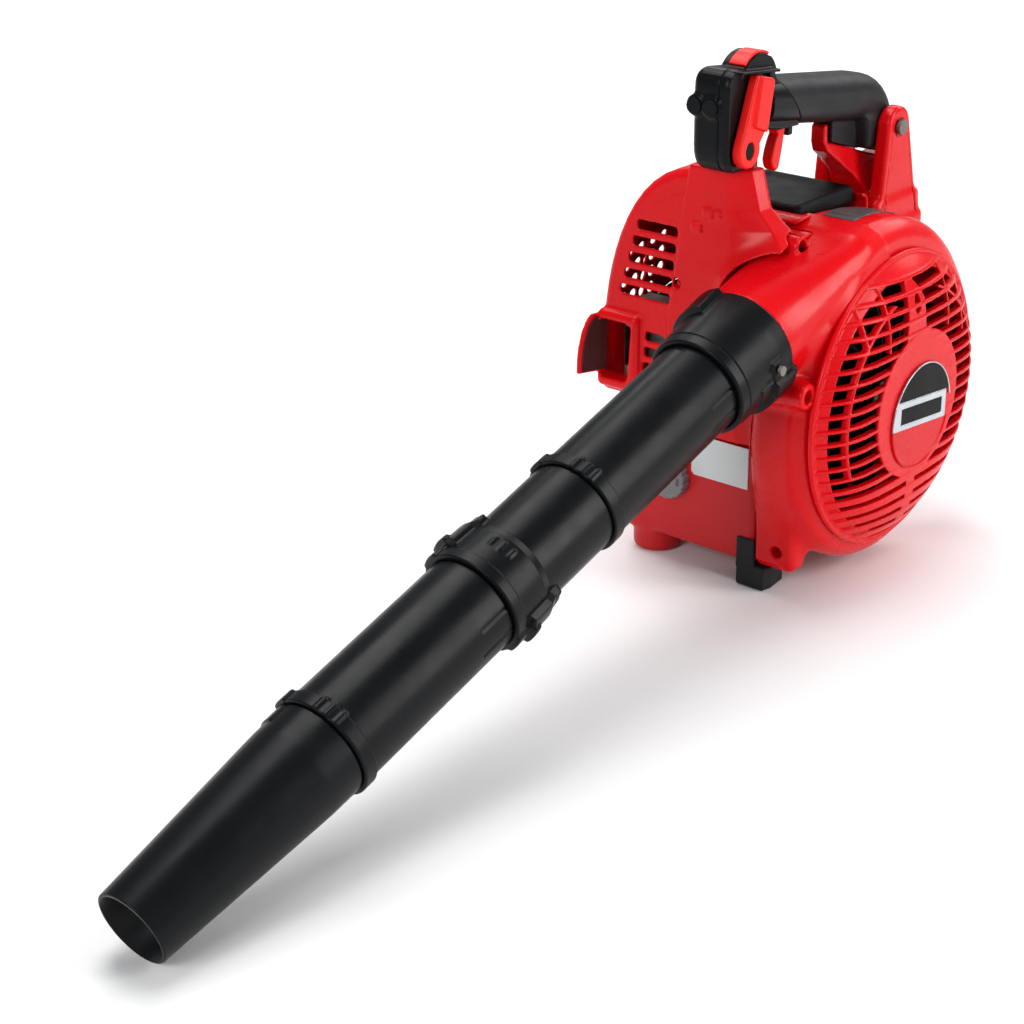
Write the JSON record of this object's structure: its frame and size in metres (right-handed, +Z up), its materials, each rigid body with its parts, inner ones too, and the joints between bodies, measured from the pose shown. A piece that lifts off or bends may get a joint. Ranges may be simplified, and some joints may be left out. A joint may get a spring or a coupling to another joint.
{
  "type": "hand-held petrol leaf blower",
  "caption": "Hand-held petrol leaf blower: red scroll fan with domed slatted intake, engine beside it, top grip, and a black sectioned blow tube sloping down to a tapered nozzle.",
  "frame": {"origin": "bottom centre of the bounding box, on the surface that the feet stand on", "axes": "+Z up, -Y forward towards the nozzle, +X out of the fan cover on the right-hand side"},
  "size_m": [0.2336, 0.8422, 0.398],
  "materials": {
    "gloss_red": "gloss injection-moulded red plastic",
    "tank_red": "darker satin blow-moulded plastic",
    "black_plastic": "satin moulded black plastic",
    "grip_rubber": "soft-touch black grip moulding, finely grained",
    "rubber": "matt black rubber",
    "grey_plastic": "grey moulded plastic",
    "badge": "glossy badge with a silver band",
    "aluminium": "die-cast, lightly rough",
    "steel": "bright zinc-plated",
    "label_foil": "silver-grey printed foil without text",
    "rope": "braided cord",
    "foam": "open-cell foam",
    "ceramic": "white glazed ceramic with steel shell"
  },
  "bodies": {
    "housing": {"volute_housing": "gloss_red", "fan_cover": "gloss_red", "front_post": "gloss_red", "engine_cover": "gloss_red", "rear_bracket": "gloss_red", "fuel_tank": "tank_red", "volute_backplate": "black_plastic", "outlet_collar": "black_plastic", "top_shroud": "black_plastic", "handle_block": "black_plastic", "block_screw_1": "black_plastic", "block_screw_2": "black_plastic", "ignition_coil": "black_plastic", "filter_base": "black_plastic", "starter_housing": "black_plastic", "grip": "grip_rubber", "foot_front_right": "rubber", "foot_rear_left": "rubber", "foot_rear_right": "rubber", "plug_cap": "rubber", "badge_plate": "badge", "crankcase": "aluminium", "cylinder_block": "aluminium", "carburettor": "aluminium", "collar_screw": "steel", "rear_bolt": "steel", "trigger_pin": "steel", "muffler": "steel", "recoil_spring": "steel", "tank_label": "label_foil", "air_filter": "foam", "spark_plug": "ceramic"},
    "crank": {"crankshaft": "steel", "rear_shaft": "steel", "impeller": "black_plastic", "fan_nut": "steel", "flywheel": "aluminium", "starter_cup": "steel"},
    "piston_set": {"piston": "aluminium", "piston_pin": "steel", "connecting_rod": "steel"},
    "reel": {"starter_reel": "black_plastic", "starter_rope": "rope"},
    "pull_handle": {"starter_handle": "black_plastic"},
    "trigger": {"throttle_trigger": "gloss_red"},
    "speed_lever": {"throttle_lever": "gloss_red"},
    "switch": {"stop_switch": "gloss_red"},
    "tank_cap": {"fuel_cap": "grey_plastic"},
    "choke": {"choke_lever": "grey_plastic"},
    "primer": {"primer_bulb": "grey_plastic"},
    "air_box_cover": {"filter_cover": "black_plastic"},
    "air_box_knob": {"filter_knob": "black_plastic"},
    "upper_tube": {"upper_pipe": "black_plastic", "pipe_coupling": "black_plastic"},
    "lower_tube": {"lower_pipe": "black_plastic", "nozzle": "black_plastic"}
  },
  "joints": [
    {"name": "crank_spin", "type": "hinge", "parent": "housing", "child": "crank", "pos_m": [0.0932, 0.29407, 0.1375], "axis": [1, 0, 0], "continuous": true},
    {"name": "piston_slide", "type": "slide", "parent": "housing", "child": "piston_set", "axis": [0, 0, 1], "range_m": [-0.028, 0]},
    {"name": "starter_pull", "type": "slide", "parent": "housing", "child": "pull_handle", "axis": [0, 1, 0], "range_m": [0, 0.45], "stiffness_N_per_m": 20},
    {"name": "reel_spin", "type": "hinge", "parent": "housing", "child": "reel", "pos_m": [0.0932, 0.29407, 0.1375], "axis": [1, 0, 0], "range_deg": [-900, 0]},
    {"name": "trigger_pull", "type": "hinge", "parent": "housing", "child": "trigger", "pos_m": [0.0052, 0.24807, 0.3445], "axis": [1, 0, 0], "range_deg": [0, 12], "stiffness_Nm_per_rad": 0.4},
    {"name": "speed_lever_turn", "type": "hinge", "parent": "housing", "child": "speed_lever", "pos_m": [0.0212, 0.19928, 0.3319], "axis": [1, 0, 0], "range_deg": [-12, 10]},
    {"name": "switch_rock", "type": "hinge", "parent": "housing", "child": "switch", "pos_m": [0.0082, 0.21957, 0.3734], "axis": [1, 0, 0], "range_deg": [-8, 0]},
    {"name": "cap_turn", "type": "hinge", "parent": "housing", "child": "tank_cap", "pos_m": [-0.0358, 0.19407, 0.0725], "axis": [0, -1, 0], "range_deg": [0, 270]},
    {"name": "choke_turn", "type": "hinge", "parent": "housing", "child": "choke", "pos_m": [-0.0708, 0.34708, 0.1975], "axis": [0, 1, 0], "range_deg": [-70, 0]},
    {"name": "primer_press", "type": "slide", "parent": "housing", "child": "primer", "axis": [0, -1, 0], "range_m": [0, 0.004], "stiffness_N_per_m": 200},
    {"name": "air_box_off", "type": "slide", "parent": "housing", "child": "air_box_cover", "axis": [0, 1, 0], "range_m": [0, 0.03]},
    {"name": "air_box_knob_turn", "type": "hinge", "parent": "air_box_cover", "child": "air_box_knob", "pos_m": [-0.0188, 0.38207, 0.2155], "axis": [0, 1, 0], "range_deg": [0, 360]},
    {"name": "upper_tube_twist", "type": "hinge", "parent": "housing", "child": "upper_tube", "pos_m": [0.0444, 0.09336, 0.18105], "axis": [0, -0.9558, -0.294], "range_deg": [0, 35]},
    {"name": "lower_tube_twist", "type": "hinge", "parent": "upper_tube", "child": "lower_tube", "pos_m": [0.0444, -0.19529, 0.09225], "axis": [0, -0.9558, -0.294], "range_deg": [0, 35]}
  ],
  "couplings": [
    {"joint": "reel_spin", "follows": "starter_pull", "rad_per_m": -34.48}
  ]
}
